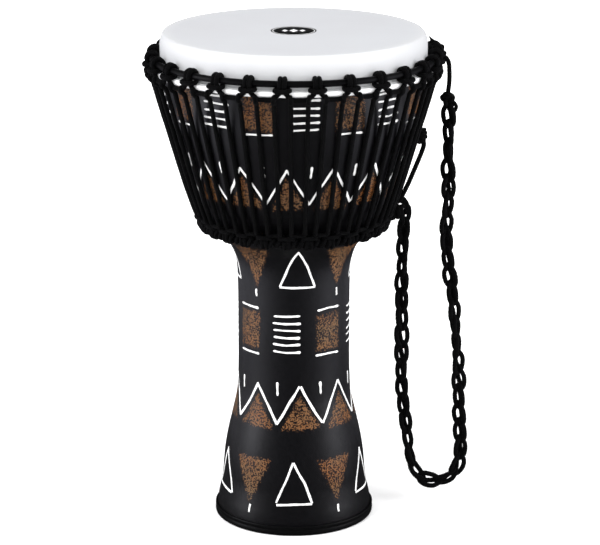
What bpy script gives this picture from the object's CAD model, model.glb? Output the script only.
# A goblet-shaped hand drum: printed shell, white film head, steel rings, black rope
# lacing and a crocheted carry rope down its right side.
# It stands on its foot at z = 0 with its axis on Z. The front is -Y and the right is +X.
# Azimuths are in degrees, 0 at the front and growing towards the right.
# Sizes are in mm unless said otherwise; at() and carry() turn them into metres.
import bpy, bmesh, math
import numpy as np
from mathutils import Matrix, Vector, noise as mnoise


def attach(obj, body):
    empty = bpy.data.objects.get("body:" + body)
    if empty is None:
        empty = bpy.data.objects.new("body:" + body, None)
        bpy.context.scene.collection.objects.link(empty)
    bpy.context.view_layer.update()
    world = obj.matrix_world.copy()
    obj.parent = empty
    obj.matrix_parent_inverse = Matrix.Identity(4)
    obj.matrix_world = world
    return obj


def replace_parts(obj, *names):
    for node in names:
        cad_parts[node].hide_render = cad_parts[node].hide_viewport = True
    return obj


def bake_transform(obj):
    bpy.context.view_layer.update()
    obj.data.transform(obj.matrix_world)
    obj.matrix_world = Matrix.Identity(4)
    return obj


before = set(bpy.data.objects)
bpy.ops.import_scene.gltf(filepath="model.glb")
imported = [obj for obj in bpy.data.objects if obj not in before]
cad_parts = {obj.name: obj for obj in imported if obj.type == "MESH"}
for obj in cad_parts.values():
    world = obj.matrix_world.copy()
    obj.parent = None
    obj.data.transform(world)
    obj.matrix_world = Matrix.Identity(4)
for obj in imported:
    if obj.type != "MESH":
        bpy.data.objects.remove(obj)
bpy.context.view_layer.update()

MM = 0.001
TAU = 2 * math.pi
rng = np.random.default_rng(7)       # shared by all ropes, so their order matters

HITCHES = 27                         # hitches round each ring
PITCH = 360.0 / HITCHES              # degrees from one hitch to the next
PHASE = -4.2                         # azimuth of the first hitch
CARRY_AZ = 95.8                      # azimuth of the carry rope's plane
ROPE_R = 2.4
ROD_R = 4.0                          # section radius of both steel rings
CROWN_R, CROWN_Z = 170.0, 580.2
LOWER_R, LOWER_Z = 110.0, 376.0


# ------------------------------------------------------------------ shader nodes
class Nodes:
    """Short calls for building a node tree; sources are sockets, numbers or colours."""

    def __init__(self, tree):
        self.tree = tree

    def add(self, kind, **settings):
        node = self.tree.nodes.new("ShaderNode" + kind)
        for key, value in settings.items():
            if key in node.inputs:
                node.inputs[key].default_value = value
            else:
                setattr(node, key, value)
        return node

    def feed(self, socket, source):
        if isinstance(source, (int, float)):
            socket.default_value = source
        elif isinstance(source, tuple):
            socket.default_value = (*source, 1)
        else:
            self.tree.links.new(source, socket)

    def math(self, operation, *sources):
        node = self.add("Math", operation=operation)
        for socket, source in zip(node.inputs, sources):
            self.feed(socket, source)
        return node.outputs[0]

    def plus(self, first, second):
        return self.math("ADD", first, second)

    def minus(self, first, second):
        return self.math("SUBTRACT", first, second)

    def times(self, first, second):
        return self.math("MULTIPLY", first, second)

    def distance(self, x, y):
        squares = self.plus(self.times(x, x), self.times(y, y))
        return self.math("SQRT", squares)

    def ramp(self, source, span, out=(0.0, 1.0)):
        """Grey ramp over the span of the source, from out[0] to out[1]."""
        node = self.add("ValToRGB")
        for element, position, grey in zip(node.color_ramp.elements, span, out):
            element.position = position
            element.color = (grey, grey, grey, 1)
        self.feed(node.inputs[0], source)
        return node.outputs[0]

    def mix(self, factor, first, second):
        node = self.add("Mix", data_type="RGBA")
        for index, source in ((0, factor), (6, first), (7, second)):
            self.feed(node.inputs[index], source)
        return node.outputs[2]

    def mix_value(self, factor, first, second):
        node = self.add("Mix")
        for index, source in ((0, factor), (2, first), (3, second)):
            self.feed(node.inputs[index], source)
        return node.outputs[0]

    def noise(self, vector, scale, detail, roughness=0.5):
        node = self.add("TexNoise", Scale=scale, Detail=detail, Roughness=roughness)
        self.feed(node.inputs["Vector"], vector)
        return node.outputs[0]

    def object_coords(self):
        return self.add("TexCoord").outputs["Object"]

    def split(self, vector):
        node = self.add("SeparateXYZ")
        self.feed(node.inputs[0], vector)
        return node.outputs


class Surface(Nodes):
    """A material with one Principled shader."""

    def __init__(self, name):
        self.material = bpy.data.materials.new(name)
        self.material.use_nodes = True
        super().__init__(self.material.node_tree)
        self.tree.nodes.clear()
        output = self.add("OutputMaterial")
        self.shader = self.add("BsdfPrincipled")
        self.feed(output.inputs[0], self.shader.outputs[0])

    def set(self, sources):
        for name, source in sources.items():
            self.feed(self.shader.inputs[name], source)

    def bump(self, height, distance, strength, under=None):
        """Relief; distance is in metres, under is the bump it lies on."""
        node = self.add("Bump", Strength=strength, Distance=distance)
        self.feed(node.inputs["Height"], height)
        if under is not None:
            self.feed(node.inputs["Normal"], under)
        self.feed(self.shader.inputs["Normal"], node.outputs[0])
        return node.outputs[0]


# ------------------------------------------------------------------ materials
def rope_material():
    """Black braid: crossing strands, with grey specks and paler areas."""
    strands, lay = 6, 2.6            # strands each way round the rope; mm along it per wave
    surface = Surface("rope_braid")
    uv = surface.add("UVMap", uv_map="rope")
    around, along, _ = surface.split(uv.outputs[0])    # 0..1 round the rope, mm along it
    waves = []
    for operation in ("ADD", "SUBTRACT"):
        slant = surface.math(operation, surface.times(around, TAU * strands),
                             surface.times(along, TAU / lay))
        waves.append(surface.math("ABSOLUTE", surface.math("SINE", slant)))
    height = surface.times(*waves)
    coords = surface.object_coords()
    fuzz = surface.noise(coords, scale=1500.0, detail=2.0)
    broad = surface.noise(coords, scale=60.0, detail=3.0)
    specks = surface.times(surface.ramp(fuzz, span=(0.56, 0.74)), 0.45)
    patches = surface.times(surface.ramp(broad, span=(0.4, 0.7)), 0.25)
    base = surface.mix(height, (0.0006, 0.0006, 0.0007), (0.0026, 0.0026, 0.0029))
    base = surface.mix(specks, base, (0.016, 0.016, 0.017))
    base = surface.mix(patches, base, (0.004, 0.0036, 0.0036))
    surface.set({"Base Color": base,
                 "Roughness": surface.ramp(height, span=(0.0, 1.0), out=(0.8, 0.5)),
                 "Sheen Weight": 0.006, "Sheen Roughness": 0.45,
                 "Specular IOR Level": 0.07})
    surface.bump(height, distance=0.0005, strength=0.85)
    return surface.material


def shell_material():
    """Dark canvas print with worn ochre patches, placed by the "print" attribute."""
    surface = Surface("shell_print")
    plus, times = surface.plus, surface.times
    coords = surface.object_coords()
    print_data = surface.add("Attribute", attribute_name="print")
    channels = surface.add("SeparateColor")
    surface.feed(channels.inputs[0], print_data.outputs["Color"])
    mask = channels.outputs[0]
    wrap = surface.add("UVMap", uv_map="wrap").outputs[0]        # in mm

    thread_pitch = 2.3
    warp, weft = [surface.math("SINE", times(axis, TAU / thread_pitch))
                  for axis in surface.split(wrap)[:2]]
    weave = plus(times(times(warp, weft), 0.5), 0.5)
    broad = surface.noise(coords, scale=22.0, detail=4.0, roughness=0.6)
    fine = surface.noise(coords, scale=520.0, detail=1.0)

    # dry-brush streaks: noise stretched round the shell, then up it
    streaks = []
    for stretch in ((0.10, 0.75, 1.0), (0.75, 0.10, 1.0)):
        mapping = surface.add("Mapping", Scale=stretch)
        surface.feed(mapping.inputs[0], wrap)
        streak = surface.noise(mapping.outputs[0], scale=1.0, detail=3.0, roughness=0.65)
        streaks.append(times(streak, 0.5))
    grain = plus(*streaks)

    def swing(source, middle, gain):
        return times(surface.minus(source, middle), gain)

    # how well the ochre covers the dark ground
    cover = plus(swing(grain, middle=0.5, gain=1.1), swing(fine, middle=0.5, gain=5.0))
    cover = plus(cover, swing(weave, middle=0.5, gain=0.7))
    cover = plus(cover, swing(broad, middle=0.5, gain=0.35))
    cover_bias = 0.37
    cover = plus(cover, plus(swing(mask, middle=0.90, gain=1.1), cover_bias))
    ochre = times(surface.ramp(cover, span=(0.40, 0.56)),
                  surface.ramp(mask, span=(0.02, 0.30)))

    tone = surface.mix(surface.ramp(broad, span=(0.3, 0.7)),
                       (0.250, 0.086, 0.016), (0.175, 0.103, 0.044))
    tone = surface.mix(surface.ramp(fine, span=(0.45, 0.75), out=(0.0, 0.75)),
                       tone, (0.11, 0.045, 0.016))
    dark = surface.mix(surface.ramp(grain, span=(0.35, 0.7)),
                       (0.0010, 0.0009, 0.0013), (0.0034, 0.0031, 0.0042))
    ochre_strength, ochre_roughness = 0.92, 0.12
    roughness = plus(surface.ramp(grain, span=(0.3, 0.7), out=(0.33, 0.50)),
                     times(ochre, ochre_roughness))
    surface.set({"Base Color": surface.mix(times(ochre, ochre_strength), dark, tone),
                 "Roughness": roughness, "Specular IOR Level": 0.42})
    threads = surface.bump(weave, distance=0.00010, strength=0.6)
    surface.bump(grain, distance=0.00025, strength=0.35, under=threads)
    return surface.material


def plain_material(name, colour, rough, scale, vary, relief, specular=0.5):
    """One colour, varied by a fine noise and a broad one; relief is in metres."""
    surface = Surface(name)
    coords = surface.object_coords()
    fine = surface.noise(coords, scale=scale, detail=4.0)
    broad = surface.noise(coords, scale=scale * 0.08, detail=2.0)
    low = tuple(c * (1 - vary) for c in colour)
    high = tuple(c * (1 + vary) for c in colour)
    blend = surface.plus(surface.times(fine, 0.5), surface.times(broad, 0.5))
    surface.set({"Base Color": surface.mix(surface.ramp(blend, span=(0.35, 0.65)), low, high),
                 "Roughness": surface.ramp(blend, span=(0.3, 0.7),
                                           out=(rough - 0.06, rough + 0.06)),
                 "Specular IOR Level": specular})
    surface.bump(fine, distance=relief, strength=0.5)
    return surface.material


def film_material():
    """Mottled grey film, lighter from the rim outwards."""
    grey_low, grey_high = (0.450, 0.452, 0.470), (0.470, 0.478, 0.496)
    rim_colour = (0.505, 0.51, 0.52)
    surface = Surface("head_film")
    coords = surface.object_coords()
    x, y, _ = surface.split(coords)
    # the ramp spans radii of 143 to 159 mm
    edge = surface.ramp(surface.times(surface.distance(x, y), 5.0), span=(0.715, 0.795))
    fine = surface.noise(coords, scale=1100.0, detail=3.0)
    broad = surface.noise(coords, scale=9.0, detail=3.0)
    flat = surface.mix(surface.ramp(broad, span=(0.35, 0.65)), grey_low, grey_high)
    specks = surface.times(surface.ramp(fine, span=(0.45, 0.7)), 0.35)
    flat = surface.mix(specks, flat, tuple(c * 1.05 for c in grey_high))
    surface.set({"Base Color": surface.mix(edge, flat, rim_colour),
                 "Roughness": surface.ramp(fine, span=(0.3, 0.7), out=(0.42, 0.56)),
                 "Specular IOR Level": 0.35})
    surface.bump(fine, distance=0.00006, strength=0.5)
    return surface.material


ROPE = rope_material()
PRINT = shell_material()
INSIDE = plain_material("shell_inside", (0.012, 0.012, 0.013), rough=0.6, scale=300,
                        vary=0.3, relief=0.0003)
PAINT = plain_material("white_line", (0.83, 0.83, 0.82), rough=0.42, scale=500,
                       vary=0.04, relief=0.0001)
FILM = film_material()
WHITE = plain_material("hoop_white", (0.87, 0.875, 0.88), rough=0.35, scale=500,
                       vary=0.015, relief=0.00005)
BLACK_STEEL = plain_material("ring_black", (0.0018, 0.0018, 0.0020), rough=0.42, scale=700,
                             vary=0.3, relief=0.00008, specular=0.12)
RUBBER = plain_material("foot_rubber", (0.0016, 0.0016, 0.0018), rough=0.45, scale=800,
                        vary=0.35, relief=0.00015, specular=0.22)
INK = plain_material("badge_ink", (0.004, 0.004, 0.0044), rough=0.35, scale=400,
                     vary=0.2, relief=0.00003)


# ------------------------------------------------------------------ mesh helpers
def add_mesh(name, verts, faces, materials, body, smooth=True):
    """Mesh object from points in metres; body may be None for pieces that are blended."""
    mesh = bpy.data.meshes.new(name)
    mesh.from_pydata([tuple(v) for v in verts], [], faces)
    mesh.update()
    if smooth:
        mesh.polygons.foreach_set("use_smooth", [True] * len(mesh.polygons))
    piece = bpy.data.objects.new(name, mesh)
    bpy.context.scene.collection.objects.link(piece)
    for material in materials:
        mesh.materials.append(material)
    if body:
        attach(piece, body)
    return piece


def fix_normals(piece):
    """Merge points that coincide, such as those on the axis, and face normals outwards."""
    work = bmesh.new()
    work.from_mesh(piece.data)
    bmesh.ops.remove_doubles(work, verts=work.verts, dist=1e-7)
    bmesh.ops.recalc_face_normals(work, faces=work.faces)
    work.to_mesh(piece.data)
    work.free()
    piece.data.update()


def at(radius, azimuth, z):
    """Point in metres from a radius, an azimuth and a height."""
    angle = math.radians(azimuth)
    return (radius * math.sin(angle) * MM, -radius * math.cos(angle) * MM, z * MM)


def around(points, azimuth=0.0):
    """Points from (radius, azimuth, z), the azimuths counted from the given one."""
    return [at(radius, azimuth + offset, z) for radius, offset, z in points]


def turned_faces(turns, count):
    """Quads of a closed section of count points, turned through a full circle."""
    faces = []
    for i in range(turns):
        j = (i + 1) % turns
        for k in range(count):
            l = (k + 1) % count
            faces.append((i * count + k, j * count + k, j * count + l, i * count + l))
    return faces


def lathe(name, section, material, body, turns=320):
    """Closed section of (radius, z), turned about Z."""
    verts = [at(radius, 360.0 * i / turns, z) for i in range(turns) for radius, z in section]
    piece = add_mesh(name, verts, turned_faces(turns, len(section)), [material], body)
    fix_normals(piece)
    return piece


def catmull(points, step):
    """Smooth curve through the points, resampled evenly; also its running length."""
    points = np.asarray(points, float)
    ends = np.vstack([2 * points[0] - points[1], points, 2 * points[-1] - points[-2]])
    share = np.linspace(0, 1, 16, endpoint=False)[:, None]
    curve = []
    for p0, p1, p2, p3 in zip(ends, ends[1:], ends[2:], ends[3:]):
        curve.append(0.5 * ((2 * p1) + (-p0 + p2) * share
                            + (2 * p0 - 5 * p1 + 4 * p2 - p3) * share ** 2
                            + (-p0 + 3 * p1 - 3 * p2 + p3) * share ** 3))
    curve = np.vstack(curve + [points[-1][None]])
    length = np.r_[0, np.cumsum(np.linalg.norm(np.diff(curve, axis=0), axis=1))]
    count = max(3, int(round(length[-1] / step)) + 1)
    stations = np.linspace(0, length[-1], count)
    return np.stack([np.interp(stations, length, curve[:, k]) for k in range(3)], 1), stations


class Ropes:
    """Braided round ropes gathered into one piece."""

    def __init__(self, sides=12):
        self.rings, self.faces, self.uvs = [], [], []
        self.count, self.sides = 0, sides

    def add(self, points, radius=ROPE_R, step=1.2, taper=None, cap=True):
        """Rope through points in metres; taper is (shares of the length, radius factors)."""
        centre, length = catmull(np.asarray(points) * 1000.0, step)
        count, sides = len(centre), self.sides
        tangent = np.gradient(centre, axis=0)
        tangent /= np.linalg.norm(tangent, axis=1)[:, None] + 1e-12
        steep = abs(tangent[0][2]) >= 0.9
        normal = np.cross(tangent[0], [1.0, 0.0, 0.0] if steep else [0.0, 0.0, 1.0])
        normal /= np.linalg.norm(normal)
        radii = np.full(count, radius)
        if taper is not None:
            radii = radius * np.interp(np.linspace(0, 1, count), taper[0], taper[1])
        theta = np.linspace(0, TAU, sides, endpoint=False)
        start = rng.uniform(0, 6.28)
        verts = np.empty((count, sides, 3))
        for i in range(count):
            # carry the frame along the rope without twisting it
            normal = normal - tangent[i] * np.dot(normal, tangent[i])
            normal /= np.linalg.norm(normal)
            binormal = np.cross(tangent[i], normal)
            lay = length[i] * 1.25
            lobes = np.maximum(np.cos(3 * theta + lay + start), np.cos(3 * theta - lay))
            reach = radii[i] * (1 + 0.045 * lobes)
            if cap and i in (0, count - 1):
                reach = reach * 0.55
            verts[i] = (centre[i] + (np.cos(theta) * reach)[:, None] * normal
                        + (np.sin(theta) * reach)[:, None] * binormal)
        self.rings.append(verts.reshape(-1, 3) * MM)
        self.skin(length)

    def skin(self, length):
        """Faces and UVs over the newest rings, with both ends closed."""
        sides, first = self.sides, self.count
        for i in range(len(length) - 1):
            near, far = first + i * sides, first + (i + 1) * sides
            for j in range(sides):
                l = (j + 1) % sides
                self.faces.append((near + j, near + l, far + l, far + j))
                u0, u1 = j / sides, (j + 1) / sides
                self.uvs += [(u0, length[i]), (u1, length[i]),
                             (u1, length[i + 1]), (u0, length[i + 1])]
        self.faces.append(tuple(first + j for j in reversed(range(sides))))
        self.uvs += [(0.5, length[0])] * sides
        last = first + (len(length) - 1) * sides
        self.faces.append(tuple(last + j for j in range(sides)))
        self.uvs += [(0.5, length[-1])] * sides
        self.count += len(length) * sides

    def piece(self, name, body, node):
        piece = add_mesh(name, np.vstack(self.rings), self.faces, [ROPE], body)
        layer = piece.data.uv_layers.new(name="rope")
        layer.data.foreach_set("uv", np.asarray(self.uvs, float).ravel())
        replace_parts(piece, node)
        return piece


# ------------------------------------------------------------------ shell profile
# outside of the shell: (z, radius)
SHELL = [(4.2, 95.6), (13, 95.5), (24, 94.0), (34, 91.8), (50, 89.0), (65, 87.8), (80, 86.4),
         (95, 84.2), (110, 81.3), (125, 77.8), (140, 74.3), (152, 71.7), (165, 69.9),
         (185, 69.0), (205, 68.6), (225, 68.6), (250, 68.6), (275, 68.6), (300, 68.9),
         (318, 69.6), (332, 71.6), (345, 76.2), (352, 80.6), (360, 86.6), (370, 94.0),
         (378, 99.8), (385, 105.7), (392, 112.2), (400, 118.2), (410, 123.4), (425, 128.6),
         (440, 133.5), (460, 139.5), (480, 145.4), (500, 151.3), (520, 155.7), (540, 157.6),
         (560, 157.9), (580, 157.2), (596, 156.5)]
# lip over the top of the wall: (radius, z)
SHELL_LIP = [(156.2, 600.5), (155.2, 604.4), (153.9, 607.4), (152.6, 608.8),
             (151.5, 607.8), (150.8, 604.0), (150.5, 599.0)]
INNER_FOOT = (92.0, 4.2)
WALL = 6.0
SHELL_TURNS = 400

profile, _ = catmull([(radius, 0, z) for z, radius in SHELL], 2.4)
OUT_R, OUT_Z = profile[:, 0], profile[:, 2]
MERIDIAN = np.r_[0, np.cumsum(np.hypot(np.diff(OUT_R), np.diff(OUT_Z)))]
slope_r, slope_z = np.gradient(OUT_R), np.gradient(OUT_Z)
slope = np.hypot(slope_r, slope_z)
NORMAL_R, NORMAL_Z = slope_z / slope, -slope_r / slope       # outward, in the (r, z) plane


def on_shell(azimuth, meridian, lift):
    """Point lifted off the outside, at a length up the meridian."""
    radius = np.interp(meridian, MERIDIAN, OUT_R) + np.interp(meridian, MERIDIAN, NORMAL_R) * lift
    z = np.interp(meridian, MERIDIAN, OUT_Z) + np.interp(meridian, MERIDIAN, NORMAL_Z) * lift
    return at(radius, azimuth, z)


# ------------------------------------------------------------------ print layout
CELL = 56.0                          # cell width aimed at
BAR = 0.62                           # half length of a bar, as a share of half a cell
# rows of the print: centre height, azimuth of the first cell, kind
ROWS = [(64.0, 0.0, "triangles"), (158.0, 6.0, "zigzag"), (250.0, -7.0, "bars"),
        (334.0, 4.0, "triangles"), (448.0, -3.0, "zigzag"), (545.0, 5.0, "bars")]
# ochre shapes of the even (0) and odd (1) cells: (share of half a cell across, mm up)
PEAK = [(-0.74, -27), (0.74, -27), (0.0, 12)]
OCHRE = {"triangles": {1: [(-0.86, 27), (0.86, 27), (0.0, -25)]},
         "zigzag": {0: PEAK, 1: PEAK},
         "bars": {1: [(-BAR, -22), (BAR, -22), (BAR, 22), (-BAR, 22)]}}


def lay_out(z, azimuth, kind):
    """Meridian length, radius, azimuth, kind, cell count (even, to close) and cell width."""
    meridian = float(np.interp(z, OUT_Z, MERIDIAN))
    radius = float(np.interp(meridian, MERIDIAN, OUT_R))
    count = 2 * max(2, round(math.pi * radius / CELL))
    return meridian, radius, azimuth, kind, count, TAU * radius / count


LAYOUT = [lay_out(*row) for row in ROWS]


def depth_inside(x, y, outline):
    """Signed distance to a polygon, positive inside (arrays)."""
    nearest = np.full(x.shape, 1e9)
    inside = np.zeros(x.shape, bool)
    for (x0, y0), (x1, y1) in zip(outline, outline[1:] + outline[:1]):
        dx, dy = x1 - x0, y1 - y0
        share = np.clip(((x - x0) * dx + (y - y0) * dy) / (dx * dx + dy * dy), 0, 1)
        nearest = np.minimum(nearest, np.hypot(x - x0 - share * dx, y - y0 - share * dy))
        crosses = (y0 > y) != (y1 > y)
        inside ^= crosses & (x < dx * (y - y0) / (dy or 1e-9) + x0)
    return np.where(inside, nearest, -nearest)


def ochre_mask(azimuth, meridian):
    """Where the ochre patches lie, 0 to about 1 (arrays)."""
    mask = np.zeros_like(meridian)
    draw = np.random.default_rng(11)
    for row_meridian, radius, row_azimuth, kind, count, width in LAYOUT:
        for k in range(count):
            if k % 2 not in OCHRE[kind]:
                continue
            turn = (azimuth - row_azimuth - 360.0 * k / count + 180.0) % 360.0 - 180.0
            x = turn * math.pi / 180 * radius
            y = meridian - row_meridian
            near = (np.abs(x) < width) & (np.abs(y) < 45)
            if not near.any():
                continue
            strength = draw.uniform(0.88, 1.05)
            fade_x, fade_y = draw.uniform(-0.006, 0.006, 2)
            outline = [(across * width / 2 + draw.normal(0, 0.9), up + draw.normal(0, 0.9))
                       for across, up in OCHRE[kind][k % 2]]
            depth = depth_inside(x[near], y[near], outline)
            fade = np.clip(strength + fade_x * x[near] + fade_y * y[near], 0.5, 1.1)
            patch = np.clip(depth / 4.0 + 0.85, 0, 1) * fade
            mask[near] = np.maximum(mask[near], patch)
    return mask


# ------------------------------------------------------------------ shell
def paint_print(mesh, verts, angles, count):
    """Write the ochre mask, roughened by noise, into the "print" attribute."""
    inner_count = count - len(MERIDIAN)
    meridian = np.tile(np.r_[MERIDIAN, np.full(inner_count, -500.0)], SHELL_TURNS)
    mask = ochre_mask(np.degrees(np.repeat(angles, count)), meridian)
    for i in np.flatnonzero(mask > 0.02):
        wobble = mnoise.noise(Vector(verts[i]) * 55.0) * 0.35
        mask[i] = min(1.0, max(0.0, mask[i] + wobble))
    colours = np.zeros((len(verts), 4), np.float32)
    colours[:, 0] = mask
    colours[:, 3] = 1
    attribute = mesh.color_attributes.new("print", "FLOAT_COLOR", "POINT")
    attribute.data.foreach_set("color", colours.ravel())


def map_wrap(mesh, angles, radii, heights):
    """UV map in mm: arc at a radius of 100 against length up the meridian."""
    count, outer = len(radii), len(MERIDIAN)
    layer = mesh.uv_layers.new(name="wrap")
    vertex = np.empty(len(mesh.loops), int)
    mesh.loops.foreach_get("vertex_index", vertex)
    turn, station = vertex // count, vertex % count
    face_turn = np.repeat(np.arange(len(mesh.polygons)) // count, 4)
    closing = (face_turn == SHELL_TURNS - 1) & (turn == 0)
    angle = np.where(closing, angles[turn] + TAU, angles[turn])
    up = np.r_[MERIDIAN, np.zeros(count - outer)][station]
    uvs = np.zeros((len(mesh.loops), 2))
    uvs[:, 0] = angle * 100.0
    uvs[:, 1] = np.where(station < outer, up, radii[station] + heights[station])
    layer.data.foreach_set("uv", uvs.ravel())


def build_shell():
    inner = [(radius - WALL, z) for radius, z in zip(OUT_R[::-3], OUT_Z[::-3])]
    section = list(zip(OUT_R, OUT_Z)) + SHELL_LIP + inner + [INNER_FOOT]
    count = len(section)
    angles = TAU * (np.arange(SHELL_TURNS) + 0.5) / SHELL_TURNS - math.pi   # seam at the back
    radii = np.array([radius for radius, _ in section])
    heights = np.array([z for _, z in section])
    verts = np.stack([np.outer(np.sin(angles), radii), -np.outer(np.cos(angles), radii),
                      np.tile(heights, (SHELL_TURNS, 1))], -1).reshape(-1, 3) * MM
    shell = add_mesh("shell_printed", verts, turned_faces(SHELL_TURNS, count),
                     [PRINT, INSIDE], "root")
    slots = [0 if k < len(OUT_R) - 1 else 1 for k in range(count)]
    shell.data.polygons.foreach_set("material_index", slots * SHELL_TURNS)
    paint_print(shell.data, verts, angles, count)
    map_wrap(shell.data, angles, radii, heights)
    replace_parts(shell, "shell")


build_shell()


# ------------------------------------------------------------------ painted lines
# section of a line: (share of its half width, height above the shell)
LINE_SECTION = [(-1, -0.10), (-0.86, 0.22), (-0.45, 0.36), (0, 0.40),
                (0.45, 0.36), (0.86, 0.22), (1, -0.10)]
# width factors where the brush lands and lifts, by station
BRUSH_ENDS = [(-1, 0.75), (-2, 1.30), (-3, 1.32), (-4, 1.15), (0, 0.6), (1, 1.12), (2, 1.16)]
hand = np.random.default_rng(3)


class Lines:
    """Hand-painted raised lines gathered into one mesh."""

    def __init__(self):
        self.verts, self.faces, self.seed = [], [], 0

    def add(self, row, points, shake, width, vary=False, blob=True):
        """Line through (mm round the shell, mm up it), from the row's first cell."""
        meridian, radius, azimuth = row[:3]
        points = np.array([(x + hand.normal(0, shake), y + hand.normal(0, shake))
                           for x, y in points])
        if vary:
            width = width * hand.uniform(0.9, 1.1)
        path = []
        for start, end in zip(points, points[1:]):
            count = max(2, int(np.linalg.norm(end - start) / 1.6))
            share = np.linspace(0, 1, count, endpoint=False)[:, None]
            path.append(start + (end - start) * share)
        path = np.vstack(path + [points[-1][None]])
        self.seed += 1
        seed = self.seed
        for p in path:
            p[0] += 0.55 * mnoise.noise(Vector((p[0] * 0.06, p[1] * 0.06, seed * 3.7)))
            p[1] += 0.55 * mnoise.noise(Vector((p[0] * 0.06, p[1] * 0.06, seed * 7.1 + 40)))
        tangent = np.gradient(path, axis=0)
        tangent /= np.linalg.norm(tangent, axis=1)[:, None] + 1e-9
        half = np.array([width * (0.5
                                  + 0.13 * mnoise.noise(Vector((i * 0.16, seed * 1.7, 0.3)))
                                  + 0.07 * mnoise.noise(Vector((i * 0.7, seed * 2.9, 5.3))))
                         for i in range(len(path))])
        if blob and len(path) > 6:
            for i, factor in BRUSH_ENDS:
                half[i] *= factor
        first = len(self.verts)
        for (x, y), (along_x, along_y), reach in zip(path, tangent, half):
            for share, height in LINE_SECTION:
                side_x = x - along_y * share * reach
                side_y = y + along_x * share * reach
                self.verts.append(on_shell(azimuth + math.degrees(side_x / radius),
                                           meridian + side_y, height))
        self.skin(first, len(path))

    def skin(self, first, stations):
        count = len(LINE_SECTION)
        for i in range(stations - 1):
            near, far = first + i * count, first + (i + 1) * count
            for j in range(count):
                l = (j + 1) % count
                self.faces.append((near + j, far + j, far + l, near + l))
        last = first + (stations - 1) * count
        self.faces.append(tuple(first + j for j in range(count)))
        self.faces.append(tuple(last + j for j in reversed(range(count))))


def paint_triangles(lines, row, k, middle, width):
    """Outlined triangle in even cells, short tick in odd ones."""
    if k % 2:
        lines.add(row, [(middle, -31.0), (middle, -36.0), (middle, -41.0)],
                  shake=0.3, width=2.6)
        return
    half = 0.80 * width / 2
    for start, end in (((middle - half, -25), (middle + half, -25)),
                       ((middle + half, -24), (middle, 27)),
                       ((middle, 27), (middle - half, -24))):
        centre = ((start[0] + end[0]) / 2, (start[1] + end[1]) / 2)
        lines.add(row, [start, centre, end], shake=0.6, width=2.9, vary=True, blob=False)


def paint_zigzag(lines, row, k, middle, width):
    """Peak across the cell and a tick over the valley after it."""
    left, right = middle - width / 2, middle + width / 2
    rise = [(left, -22.0), (middle - width / 4, 2.0), (middle, 26.0)]
    fall = [(middle, 26.0), (middle + width / 4, 2.0), (right, -22.0)]
    for points in (rise, fall):
        lines.add(row, points, shake=0.5, width=3.0, vary=True, blob=False)
    lines.add(row, [(right, 14.0), (right, 22.0), (right, 30.0)], shake=0.4, width=2.8)


def paint_bars(lines, row, k, middle, width):
    """Six bars in even cells, one above and one below the ochre in odd ones."""
    left, right = middle - BAR * width / 2, middle + BAR * width / 2
    if k % 2 == 0:
        for y in (-22.5, -13.5, -4.5, 4.5, 13.5, 22.5):
            lines.add(row, [(left, y), (middle, y), (right, y)],
                      shake=0.5, width=2.6, vary=True)
    else:
        for y in (-29.0, 29.0):
            lines.add(row, [(left, y), (middle, y + 0.4), (right, y)], shake=0.5, width=2.5)


def build_lines():
    painters = {"triangles": paint_triangles, "zigzag": paint_zigzag, "bars": paint_bars}
    lines = Lines()
    for row in LAYOUT:
        kind, count, width = row[3:]
        for k in range(count):
            painters[kind](lines, row, k, k * width, width)
    fix_normals(add_mesh("painted_lines", lines.verts, lines.faces, [PAINT],
                         "root"))


build_lines()


# ------------------------------------------------------------------ foot, head, rings
def arc(x, z, radius, start, end, steps):
    """Arc in the (radius, z) plane; angles in degrees."""
    angles = [math.radians(start + (end - start) * i / steps) for i in range(steps + 1)]
    return [(x + radius * math.cos(a), z + radius * math.sin(a)) for a in angles]


def build_foot():
    outer = 98.4
    section = [(86.6, 0.0), (90.5, 0.0)] + arc(outer - 3.2, 3.2, 3.2, -90, 0, 8)
    # a fine groove round the outside
    section += [(outer, 6.8), (outer - 0.25, 7.2), (outer - 0.25, 7.7), (outer, 8.1)]
    section += arc(outer - 1.3, 11.3, 1.3, 0, 90, 5)
    section += [(95.9, 12.6), (95.8, 12.2), (95.8, 4.0), (89.4, 4.0), (89.4, 10.0),
                (86.8, 10.0), (86.6, 9.6)]
    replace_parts(lathe("foot_ring_rubber", section, RUBBER, "root"), "foot_ring")


HEAD_Z = 610.0
FILM_R = 160.8
FILM_THICK = 0.8


def rim_curve(start, end, top, drop, angles):
    """Rounded shoulder from radius start at the top out to radius end."""
    return [(start + (end - start) * math.sin(a) ** 0.9, top - drop * (1 - math.cos(a)))
            for a in angles]


def build_head():
    quarter = math.pi / 2
    inside, under = FILM_R - FILM_THICK, HEAD_Z - FILM_THICK
    flange_r, flange_z = 166, 564.2
    flat = np.linspace(6, 150, 24)
    section = [(0.0, HEAD_Z)] + [(radius, HEAD_Z) for radius in flat]
    section += rim_curve(154.4, FILM_R, HEAD_Z, 16.0, np.linspace(0, quarter, 16))
    section += [(FILM_R, z) for z in (588, 578, 570, flange_z)]
    section += [(flange_r, flange_z), (flange_r, flange_z - FILM_THICK)]
    section += [(inside, z) for z in (flange_z - FILM_THICK, 570, 588)]
    section += rim_curve(154.0, inside, under, 15.6, np.linspace(quarter, 0, 14))
    section += [(radius, under) for radius in flat[::-1]] + [(0.0, under)]
    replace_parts(lathe("drumhead_film", section, FILM, "head", turns=360),
                "drumhead")


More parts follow.
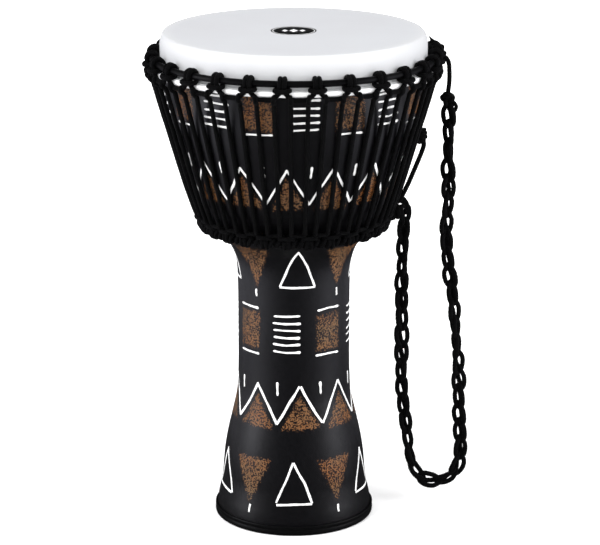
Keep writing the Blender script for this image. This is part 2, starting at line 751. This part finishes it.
def build_hoop():
    corner, left, right, low, high = 2.2, 163.4, 169.3, 566.6, 568.9
    section = (arc(left, low, corner, 180, 270, 5) + arc(right, low, corner, -90, 0, 6)
               + arc(right, high, corner, 0, 90, 6) + arc(left, high, corner, 90, 180, 5))
    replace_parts(lathe("flesh_hoop_white", section, WHITE, "head"), "flesh_hoop")


def build_ring(name, radius, z, body, node):
    section = [(radius + ROD_R * math.cos(a), z + ROD_R * math.sin(a))
               for a in np.linspace(0, TAU, 20, endpoint=False)]
    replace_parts(lathe(name, section, BLACK_STEEL, body), node)


def build_badge():
    """Dark disc on the film with a white line and three diamonds."""
    disc_r, line_out, line_in = 27.5, 25.6, 24.7
    disc_low, disc_top, mark_top = HEAD_Z - 0.02, HEAD_Z + 0.05, HEAD_Z + 0.09
    disc = [(0.0, disc_top), (disc_r * 0.5, disc_top), (disc_r, disc_top),
            (disc_r, disc_low), (0.0, disc_low)]
    lathe("badge_disc", disc, INK, "head", turns=128)
    line = [(line_in, HEAD_Z), (line_out, HEAD_Z), (line_out, mark_top), (line_in, mark_top)]
    lathe("badge_line", line, WHITE, "head", turns=128)
    for i, (x, size) in enumerate(((-10.5, 4.6), (0.0, 6.6), (10.5, 4.6))):
        outline = [(x, -size * 1.35), (x + size * 0.8, 0), (x, size * 1.35), (x - size * 0.8, 0)]
        verts = [(px * MM, py * MM, z * MM) for z in (HEAD_Z, mark_top) for px, py in outline]
        faces = [(3, 2, 1, 0), (4, 5, 6, 7)]
        faces += [(k, (k + 1) % 4, 4 + (k + 1) % 4, 4 + k) for k in range(4)]
        add_mesh("badge_mark_%d" % i, verts, faces, [WHITE], "head", smooth=False)


build_foot()
build_head()
build_hoop()
build_ring("crown_ring_steel", CROWN_R, CROWN_Z, "head", "crown_ring")
build_ring("lower_ring_steel", LOWER_R, LOWER_Z, "root", "lower_ring")
build_badge()


# ------------------------------------------------------------------ cradle ropes
# One side of a hitch. Start, from its middle: (mm round the ring, mm out from the
# ring's radius, mm on the side of the ring that faces the lacing).
HITCH_START = [(0.0, 9.5, 7.3), (3.2, 9.3, 7.2), (6.6, 7.9, 6.9), (8.2, 4.0, 6.6),
               (6.9, -0.2, 6.5), (4.6, -4.6, 4.6)]
# turn over the rod: (degrees round its section, mm round the ring)
HITCH_TURN = [(175, 2.9), (140, 2.6), (105, 2.55), (70, 2.5), (35, 2.45), (5, 2.45),
              (-22, 2.5)]
# legs leaving the hitch: (mm round the ring, radius, z)
CROWN_LEGS = [(2.9, 174.9, 572.6), (4.2, 174.8, 569.8), (6.6, 174.7, 567.0),
              (9.0, 174.4, 564.6), (11.8, 173.7, 562.8), (15.2, 173.2, 562.2)]
LOWER_LEGS = [(2.9, 115.1, 382.4), (3.9, 116.1, 384.2), (5.4, 117.7, 385.9),
              (7.6, 118.8, 386.7), (10.0, 119.2, 386.9)]
CROWN_MID = (173.1, 562.2)           # radius and z half way between two hitches
LOWER_MID = (119.2, 386.9)
WRAP = ROD_R + ROPE_R + 0.05         # rope centre from rod centre


def cradle_path(ring_r, ring_z, up, legs, mid, azimuth):
    """One pitch of cradle rope: in, round the hitch and out. up is -1 to turn it over."""
    side = [(arc_mm, ring_r + out, ring_z - up * drop) for arc_mm, out, drop in HITCH_START]
    for degrees, arc_mm in HITCH_TURN:
        a = math.radians(degrees)
        side.append((arc_mm, ring_r + WRAP * math.cos(a), ring_z + up * WRAP * math.sin(a)))
    side += legs

    def shaken(spread):
        return [(arc_mm + rng.normal(0, spread), radius + rng.normal(0, spread * 0.6),
                 z + rng.normal(0, spread)) for arc_mm, radius, z in side]

    left, right = shaken(0.13), shaken(0.13)
    right[0] = (0.0, left[0][1], left[0][2])
    both = [(-arc_mm, radius, z) for arc_mm, radius, z in reversed(left[1:])] + right
    half = PITCH / 2.0 + 0.05
    points = [(mid[0], -half, mid[1])]
    points += [(radius, math.degrees(arc_mm / ring_r), z) for arc_mm, radius, z in both]
    points += [(mid[0], half, mid[1])]
    return around(points, azimuth)


def lower_winding(start, radius):
    """Rope wound along the lower ring, three turns for every two hitches."""
    turns, count = HITCHES * 1.5, HITCHES * 16
    points = []
    for i in range(count + 1):
        azimuth = 360.0 * i / count
        a = start + TAU * turns * i / count
        reach = radius + 0.5 * math.sin(azimuth * 0.9)
        points.append(at(LOWER_R + reach * math.cos(a), PHASE + azimuth,
                         LOWER_Z + 0.9 + reach * 0.92 * math.sin(a)))
    return points


def build_cradles():
    crown, lower = Ropes(14), Ropes(14)
    for i in range(HITCHES):
        azimuth = PHASE + i * PITCH
        rng.normal(0, 0.12)          # an unused draw that keeps the later ones in place
        crown.add(cradle_path(CROWN_R, CROWN_Z, 1, CROWN_LEGS, CROWN_MID, azimuth),
                  radius=2.85, cap=False)
        lower.add(cradle_path(LOWER_R, LOWER_Z, -1, LOWER_LEGS, LOWER_MID, azimuth), cap=False)
    crown.piece("crown_cradle_rope_braid", "head", "crown_cradle_rope")
    for start, radius in ((0.0, 6.1), (math.pi, 6.3)):
        lower.add(lower_winding(start, radius), radius=2.35, step=1.4, cap=False)
    lower.piece("lower_cradle_rope_braid", "root", "lower_cradle_rope")


build_cradles()


# ------------------------------------------------------------------ vertical lacing
# a strand from the lower cradle to the crown: (z, radius)
STRAND = [(387.0, 119.2), (391, 120.7), (396, 122.6), (404, 125.4), (412, 128.1),
          (420.7, 131.1), (430.7, 134.2), (440.7, 137.2), (450.7, 140.2), (460.7, 143.1),
          (470.6, 146.0), (480.6, 148.9), (490.5, 151.8), (500, 154.5), (510, 157.7),
          (520, 160.5), (530, 163.5), (540, 166.2), (550, 169.2), (556.5, 171.4)]
STRAND_OFFSET = 3.33                 # degrees either side of the hitch


def build_lacing():
    lacing = Ropes()
    for i in range(HITCHES):
        for side in (-1, 1):
            azimuth = PHASE + i * PITCH + side * STRAND_OFFSET
            top = azimuth + rng.normal(0, 0.10)
            bottom = azimuth + rng.normal(0, 0.28)
            points = [at(radius, bottom + (top - bottom) * (z - 387) / 170.0, z)
                      for z, radius in STRAND]
            # over the cradle rope and in behind it
            points += around([(176.3, 0, 560.2), (177.6, 0, 563.6),
                              (176.3, -side * 0.25, 566.3), (173.4, -side * 0.5, 566.4)], top)
            lacing.add(points, radius=2.75, step=1.8)
    piece = lacing.piece("vertical_lacing_braid", None, "vertical_lacing")
    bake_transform(piece)


build_lacing()


# ------------------------------------------------------------------ tie-off and tail
def axes_of(start, end):
    """Unit vector from start to end, and two across it."""
    axis = (end - start) / np.linalg.norm(end - start)
    side = np.cross(axis, [0, 1, 0])
    side /= np.linalg.norm(side)
    return axis, side, np.cross(axis, side)


def coil(start, end, turns, count, reach):
    """Helix from start to end; reach(share, angle) gives its radius in mm."""
    _, side, other = axes_of(start, end)
    points = []
    for i in range(count):
        share = i / (count - 1)
        a = TAU * turns * share
        points.append(start + (end - start) * share
                      + (side * math.cos(a) + other * math.sin(a)) * reach(share, a) * MM)
    return points


def build_tie_off():
    """The lacing's end wound round itself."""
    tie = Ropes(14)
    low, high = np.array(at(154.4, 92.2, 472.5)), np.array(at(157.6, 92.2, 487.0))
    tie.add(coil(low, high, turns=3.2, count=45,
                 reach=lambda share, a: (1.5 + 2.5 * math.sin(math.pi * share) ** 0.7
                                         + 0.4 * math.sin(a * 0.7))), radius=2.7)
    axis, side, other = axes_of(low, high)
    tie.add([low - axis * 0.001, low + side * 0.003 + other * 0.004,
             (low + high) / 2 + side * 0.0055, high + side * 0.001,
             high - side * 0.003 - other * 0.002])
    piece = tie.piece("tie_off_knot_braid", None, "tie_off_knot")
    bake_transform(piece)


def build_tail():
    tail = Ropes()
    tail.add(around([(156.6, 92.6, 476), (158.4, 93.6, 467.0), (155.6, 94.6, 456),
                     (148.4, 95.2, 437), (139.8, 95.6, 416), (133.2, 95.8, 402.2),
                     (130.4, 95.8, 394.0)]), radius=2.9, step=1.4)
    piece = tail.piece("lacing_tail_braid", None, "lacing_tail")
    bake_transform(piece)


build_tie_off()
build_tail()


# ------------------------------------------------------------------ carry rope ends
def build_anchor():
    """Cord looped over the lower cradle and round the chain's end."""
    anchor = Ropes()
    anchor.add(around([(126.0, 95.6, 404), (131.0, 95.8, 402), (136.0, 96.0, 398),
                       (140.2, 96.2, 391), (140.6, 96.2, 384), (137.0, 96.2, 379)]))
    anchor.add(around([(121.0, 95.4, 398), (128.0, 96.0, 397.4), (134.4, 96.2, 394.4),
                       (138.4, 96.4, 388), (137.6, 96.4, 381)]), radius=2.6)
    winding = []
    for i in range(61):
        share = i / 60.0
        a = TAU * 4.2 * share
        winding.append(at(117.5 + 15.0 * share + 1.0 * math.sin(a * 0.5),
                          95.6 + 2.2 * math.cos(a), 380.0 + 3.0 * share + 6.4 * math.sin(a)))
    anchor.add(winding, radius=2.6)
    anchor.add(around([(121.0, 95.2, 392), (127.0, 96.2, 388), (131.0, 96.4, 381),
                       (135.0, 96.2, 376.6)]))
    anchor.add(around([(118.5, 94.6, 388), (124, 95.0, 392.5), (130.5, 95.6, 395.8),
                       (136.4, 95.9, 396.0), (139.6, 96.2, 392.4), (138.0, 96.6, 388.6),
                       (133.4, 96.7, 388.2), (127.0, 96.4, 389.0), (119.0, 96.2, 385.6)]))
    anchor.piece("carry_anchor_braid", "root", "carry_anchor")


def rod_coil(radius, z, first, sweep, turns, start, count, reach, wobble, rate):
    """Helix along the crown ring; first and sweep are degrees from the carry rope."""
    points = []
    for i in range(count):
        share = i / (count - 1)
        a = TAU * turns * share + start
        out = reach + wobble * math.sin(a * rate)
        points.append(at(radius + out * math.cos(a), CARRY_AZ + first + sweep * share,
                         z + out * math.sin(a)))
    return points


def build_carry_hitch():
    """Cord wound along the crown ring, its cut end standing up."""
    hitch = Ropes(14)
    hitch.add(rod_coil(CROWN_R, CROWN_Z, first=-1.6, sweep=5.6, turns=3.5, start=0.6,
                       count=61, reach=6.5, wobble=0.25, rate=1.3))
    hitch.add(around([(176.5, 3.6, 576), (180.6, 2.4, 581), (181.0, 1.0, 586.6),
                      (176.4, 0.6, 587.6), (170.6, 1.8, 587.2), (168.2, 3.6, 585.6)], CARRY_AZ))
    # the cut end, thinning to its tip
    hitch.add(around([(177.8, -2.4, 577.5), (180.8, -0.6, 577.8), (181.0, 1.2, 581.6),
                      (177.0, 1.6, 586.0), (172.0, 0.8, 590.4), (168.0, 1.4, 594.8),
                      (165.0, 2.0, 599.0)], CARRY_AZ),
              taper=([0, 0.6, 0.85, 1.0], [1.0, 1.05, 0.8, 0.22]))
    hitch.add(around([(177.0, 1.6, 586.4), (173.0, 0.2, 590.4), (169.8, 2.2, 593.0),
                      (173.0, 3.0, 590.0), (177.0, 2.2, 585.6)], CARRY_AZ), radius=2.2)
    # out and down to the hanging cord
    hitch.add(around([(176.0, 0.5, 572.0), (180.2, 0.4, 574.2), (184.2, 0.2, 573.6),
                      (187.2, 0, 570.2), (188.8, 0, 565.4), (189.2, 0, 561.6),
                      (189.2, 0, 559.6)], CARRY_AZ), radius=2.8)
    low = np.array(at(180.0, CARRY_AZ + 0.4, 573.5))
    high = np.array(at(167.0, CARRY_AZ + 2.0, 593.0))
    hitch.add(coil(low, high, turns=4.6, count=70,
                   reach=lambda share, a: 6.2 - 4.6 * share), radius=2.6)
    hitch.add(rod_coil(CROWN_R + 1.0, CROWN_Z + 1.2, first=-2.4, sweep=7.4, turns=4.5,
                       start=2.0, count=81, reach=8.6, wobble=0.5, rate=0.8), radius=2.7)
    piece = hitch.piece("carry_rope_hitch_braid", None, "carry_rope_hitch")
    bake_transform(piece)


build_anchor()
build_carry_hitch()


# ------------------------------------------------------------------ carry rope
def carry(radius, z, back=0.0):
    """Point in metres in the carry rope's plane, or out of it towards the back."""
    x, y, height = at(radius, CARRY_AZ, z)
    a = math.radians(CARRY_AZ)
    return (x + math.cos(a) * back * MM, y + math.sin(a) * back * MM, height)


def build_cord():
    cord = Ropes(14)
    cord.add([carry(189.15, 561.2), carry(189.6, 552), carry(189.4, 542), carry(188.4, 533),
              carry(188.0, 524)], radius=2.8, step=1.3)
    cord.piece("carry_cord_braid", "carry_rope", "carry_cord")


def build_knot():
    """Overhand knot: a tight trefoil with three more loops of rope on it."""
    knot = Ropes(14)
    trefoil = []
    for i in range(49):
        a = TAU * i / 48
        x = math.sin(a) + 2 * math.sin(2 * a)
        y = math.cos(a) - 2 * math.cos(2 * a)
        trefoil.append(carry(187.6 + x * 2.35, 522.0 + y * 2.35, -math.sin(3 * a) * 2.8))
    knot.add(trefoil, radius=2.7, cap=False)
    knot.add([carry(188.2 + 4.3 * math.cos(a), 526.6 + 1.6 * math.sin(a * 0.5),
                    4.3 * math.sin(a)) for a in np.linspace(0.4, TAU + 1.2, 22)], radius=2.5)
    knot.add([carry(191.6 + 3.6 * math.cos(a), 517.0 + 2.8 * math.sin(a),
                    2.2 * math.cos(a * 2)) for a in np.linspace(0.0, TAU + 0.6, 22)],
             radius=2.5)
    knot.add([carry(190.0, 520, -1.5), carry(195.0, 518.5, -3.0), carry(198.4, 512.6, -1.0),
              carry(196.2, 506.6, 1.5), carry(191.4, 507.6, 2.4), carry(188.6, 511, 1.0)],
             radius=2.3)
    knot.piece("carry_knot_braid", "carry_rope", "carry_knot")


# the chain's middle line, from the knot down and back up to the anchor: (radius, z)
CHAIN = [(188.8, 518.0), (189.8, 505.0), (190.1, 483.6), (189.9, 458.6), (190.3, 427.2),
         (190.2, 395.6), (188.4, 372.0), (188.2, 352.0), (190.9, 326.0), (194.0, 302.0),
         (197.4, 277.0), (200.4, 247.8), (203.3, 217.7), (205.8, 186.2), (207.6, 155.9),
         (208.8, 125.4), (210.0, 96.2), (210.8, 76.0), (210.0, 61.0), (205.6, 44.5),
         (196.0, 34.5), (182.2, 30.0), (167.6, 32.6), (154.8, 42.0), (147.9, 60.0),
         (143.9, 80.0), (141.6, 100.0), (139.2, 124.0), (136.8, 147.0), (135.2, 173.0),
         (134.7, 204.3), (134.2, 243.3), (134.1, 282.2), (134.9, 314.3), (135.2, 340.0),
         (135.8, 362.0), (136.3, 378.0), (136.6, 389.0)]
# one stitch: (mm across in the plane, mm out of it, links along)
STITCH = [(-1.5, 1.6, 0.0), (-2.6, -1.2, 0.17), (-4.7, -1.9, 0.45), (-5.1, -1.1, 0.80),
          (-3.9, 0.3, 1.13), (0.0, 1.1, 1.30), (3.9, 0.3, 1.13), (5.1, -1.1, 0.80),
          (4.7, -1.9, 0.45), (2.6, -1.2, 0.17), (1.5, 1.6, 0.0), (0.9, 3.3, 0.22),
          (0.0, 3.7, 0.50), (-0.9, 3.2, 0.78)]
LINK_AIM = 22.5                      # link length aimed at


def build_chain():
    """Crocheted chain: one rope through every stitch, each link twisted a little."""
    path, length = catmull([(radius, 0, z) for radius, z in CHAIN], 1.0)
    tangent = np.gradient(path, axis=0)
    tangent /= np.linalg.norm(tangent, axis=1)[:, None]
    total = length[-1]
    links = int(total / LINK_AIM)
    link = total / links

    def chain_point(along, x, y, twist):
        along = min(max(along, 0.0), total)
        centre_r, centre_z = [np.interp(along, length, path[:, k]) for k in (0, 2)]
        along_r, along_z = [np.interp(along, length, tangent[:, k]) for k in (0, 2)]
        across = x * math.cos(twist) - y * math.sin(twist)
        back = x * math.sin(twist) + y * math.cos(twist)
        return carry(centre_r + along_z * across, centre_z - along_r * across, back)

    points = []
    for k in range(links):
        twist = 0.75 * math.sin(k * 0.83 + 0.4) + 0.45 * math.sin(k * 0.31 + 1.0)
        widen = 1.22 + 0.24 * math.sin(k * 2.3) + rng.normal(0, 0.10)
        points += [chain_point((k + share + 0.02) * link, x * widen, y, twist)
                   for x, y, share in STITCH]
    chain = Ropes()
    chain.add(points, radius=3.0, step=1.35)
    chain.piece("carry_chain_braid", "carry_rope", "carry_chain")


build_cord()
build_knot()
build_chain()


# ------------------------------------------------------------------ stage, in metres
def build_floor():
    """Pale floor that fades to white for the camera and is dim in reflections."""
    mesh = bpy.data.meshes.new("floor")
    mesh.from_pydata([(-6, -6, 0), (6, -6, 0), (6, 6, 0), (-6, 6, 0)], [], [(0, 1, 2, 3)])
    floor = bpy.data.objects.new("floor", mesh)
    bpy.context.scene.collection.objects.link(floor)
    surface = Surface("floor_pale")
    ray = surface.add("LightPath").outputs
    x, y, _ = surface.split(surface.object_coords())
    # reflections see a dark middle strip and lighter sides, from 0.44 to 1 m out
    sides = surface.ramp(surface.times(surface.math("ABSOLUTE", x), 0.5), span=(0.22, 0.50))
    reflected = surface.mix(sides, (0.035, 0.035, 0.036), (0.50, 0.50, 0.56))
    # the camera sees a glow that grows from 0.48 to 2.2 m out
    far = surface.ramp(surface.times(surface.distance(x, y), 0.25), span=(0.12, 0.55))
    far_glow, near_glow = 0.8, 0.10
    glow = surface.plus(surface.times(far, far_glow), near_glow)
    surface.set({"Base Color": surface.mix(ray["Is Glossy Ray"], (0.93, 0.93, 0.93), reflected),
                 "Emission Color": (1, 1, 1),
                 "Emission Strength": surface.times(ray["Is Camera Ray"], glow),
                 "Roughness": 0.9, "Specular IOR Level": 0.0})
    mesh.materials.append(surface.material)


def area(name, place, aim_z, size, power, colour=(1, 1, 1), shine=False):
    """Area light aimed at the drum's axis; shine lets it show in reflections."""
    light = bpy.data.lights.new(name, "AREA")
    light.energy = power
    light.color = colour
    light.shape = "RECTANGLE"
    light.size, light.size_y = size
    lamp = bpy.data.objects.new(name, light)
    lamp.visible_glossy = shine
    lamp.location = place
    direction = Vector((0, 0, aim_z)) - Vector(place)
    lamp.rotation_euler = direction.to_track_quat("-Z", "Y").to_euler()
    bpy.context.scene.collection.objects.link(lamp)


def build_world():
    """White to the camera, softer as light, and mostly dark in reflections."""
    world = bpy.data.worlds.new("studio")
    bpy.context.scene.world = world
    world.use_nodes = True
    nodes = Nodes(world.node_tree)
    background = world.node_tree.nodes["Background"]
    ray = nodes.add("LightPath").outputs
    x = nodes.split(nodes.add("TexCoord").outputs["Generated"])[0]
    sides = nodes.ramp(nodes.math("ABSOLUTE", x), span=(0.62, 0.95))
    side_glow, base_glow, light_strength, camera_strength = 0.34, 0.035, 0.72, 1.0
    reflected = nodes.plus(nodes.times(sides, side_glow), base_glow)
    strength = nodes.mix_value(ray["Is Glossy Ray"], light_strength, reflected)
    strength = nodes.mix_value(ray["Is Camera Ray"], strength, camera_strength)
    nodes.feed(background.inputs[0], (1, 1, 1))
    nodes.feed(background.inputs[1], strength)


def build_camera():
    lens = bpy.data.cameras.new("camera")
    lens.sensor_width = 36.0
    lens.lens = 158.45
    camera = bpy.data.objects.new("camera", lens)
    camera.location = (0.0076, -3.1205, 1.204)
    tilt_down = 16.011
    camera.rotation_euler = (math.radians(90 - tilt_down), 0, 0)
    bpy.context.scene.collection.objects.link(camera)
    bpy.context.scene.camera = camera


build_floor()
COOL = (0.93, 0.93, 1.0)
area("key", place=(-1.9, -2.0, 2.3), aim_z=0.35, size=(1.3, 1.3), power=60)
area("fill_right", place=(2.3, -1.4, 1.5), aim_z=0.3, size=(1.2, 1.8), power=38)
area("strip_left", place=(-2.2, -0.55, 0.8), aim_z=0.3, size=(0.8, 1.7), power=22,
     colour=COOL, shine=True)
area("strip_right", place=(2.2, -0.65, 0.8), aim_z=0.3, size=(0.8, 1.7), power=17,
     colour=COOL, shine=True)
area("top", place=(0.0, 0.2, 2.8), aim_z=0.3, size=(2.2, 2.2), power=40)
area("front", place=(0.5, -3.6, 1.1), aim_z=0.25, size=(1.6, 1.6), power=26)
build_world()
bpy.context.scene.view_settings.view_transform = "Standard"
build_camera()
